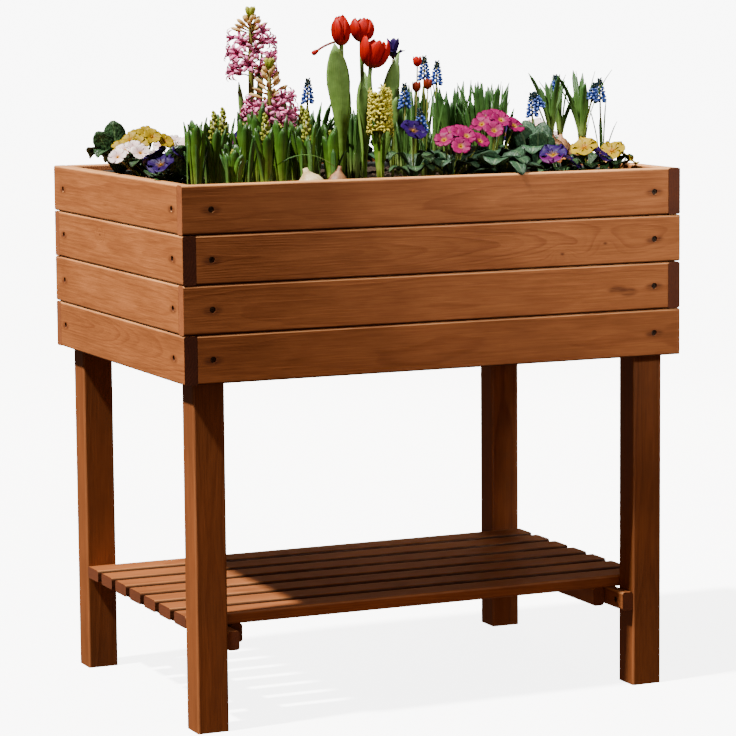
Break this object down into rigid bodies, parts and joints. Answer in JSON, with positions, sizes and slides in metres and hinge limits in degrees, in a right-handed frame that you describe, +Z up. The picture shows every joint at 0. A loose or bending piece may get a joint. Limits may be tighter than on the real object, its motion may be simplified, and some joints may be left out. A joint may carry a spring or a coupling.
{
  "type": "raised planter on legs",
  "caption": "Planting box of stacked planed boards on square legs, with a lift-out slatted shelf below, filled with soil and spring bulbs.",
  "frame": {"origin": "on the ground at the middle of the footprint", "axes": "+X along the length to the right seen from the front, -Y towards the front, +Z up"},
  "size_m": [0.8, 0.57, 1.041],
  "materials": {
    "board_wood": "planed softwood with a warm red-brown translucent glaze, satin, knots and grain showing",
    "leg_wood": "planed softwood with a warm red-brown translucent glaze, satin",
    "shelf_wood": "planed softwood with a warm red-brown translucent glaze, satin",
    "floor_wood": "sawn softwood with a thin glaze, matt",
    "screw_steel": "zinc-plated wood screws, dulled",
    "liner_cloth": "woven black-green ground cloth",
    "potting_soil": "dark moist potting compost, crumbly",
    "shoot_green": "smooth waxy strap leaves, yellow-green at the base",
    "hyacinth_bloom": "waxy florets, pink and pale yellow",
    "tulip_bloom": "satin red petals",
    "grape_hyacinth_bloom": "small blue bells",
    "strap_leaf": "narrow green leaves",
    "primrose_bloom": "pink and yellow petals over crinkled leaves",
    "pansy_bloom": "velvety violet, magenta and yellow petals",
    "bulb_skin": "papery bulb skin"
  },
  "bodies": {
    "stand": {"front_board_1": "board_wood", "front_board_2": "board_wood", "front_board_3": "board_wood", "front_board_4": "board_wood", "back_board_1": "board_wood", "back_board_2": "board_wood", "back_board_3": "board_wood", "back_board_4": "board_wood", "left_board_1": "board_wood", "left_board_2": "board_wood", "left_board_3": "board_wood", "left_board_4": "board_wood", "right_board_1": "board_wood", "right_board_2": "board_wood", "right_board_3": "board_wood", "right_board_4": "board_wood", "front_left_leg": "leg_wood", "front_right_leg": "leg_wood", "back_left_leg": "leg_wood", "back_right_leg": "leg_wood", "shelf_rail_left": "shelf_wood", "shelf_rail_right": "shelf_wood", "floor_bearer_left": "floor_wood", "floor_bearer_right": "floor_wood", "floor_board_1": "floor_wood", "floor_board_2": "floor_wood", "floor_board_3": "floor_wood", "floor_board_4": "floor_wood", "floor_board_5": "floor_wood", "floor_board_6": "floor_wood", "floor_board_7": "floor_wood", "front_wall_screws": "screw_steel", "back_wall_screws": "screw_steel", "left_wall_screws": "screw_steel", "right_wall_screws": "screw_steel", "shelf_rail_screws": "screw_steel", "floor_bearer_screws": "screw_steel", "floor_board_screws": "screw_steel", "liner": "liner_cloth", "soil": "potting_soil", "hyacinth_shoots": "shoot_green", "hyacinths": "hyacinth_bloom", "tulips": "tulip_bloom", "grape_hyacinths": "grape_hyacinth_bloom", "strap_leaves": "strap_leaf", "primroses": "primrose_bloom", "pansies": "pansy_bloom", "bulbs": "bulb_skin", "bulb_clump": "bulb_skin"},
    "shelf": {"shelf_slat_1": "shelf_wood", "shelf_slat_2": "shelf_wood", "shelf_slat_3": "shelf_wood", "shelf_slat_4": "shelf_wood", "shelf_slat_5": "shelf_wood", "shelf_slat_6": "shelf_wood", "shelf_slat_7": "shelf_wood", "shelf_batten_left": "shelf_wood", "shelf_batten_right": "shelf_wood", "shelf_screws": "screw_steel"}
  },
  "joints": [
    {"name": "shelf_lift", "type": "slide", "parent": "stand", "child": "shelf", "axis": [0, 0, 1], "range_m": [0, 0.34]}
  ]
}
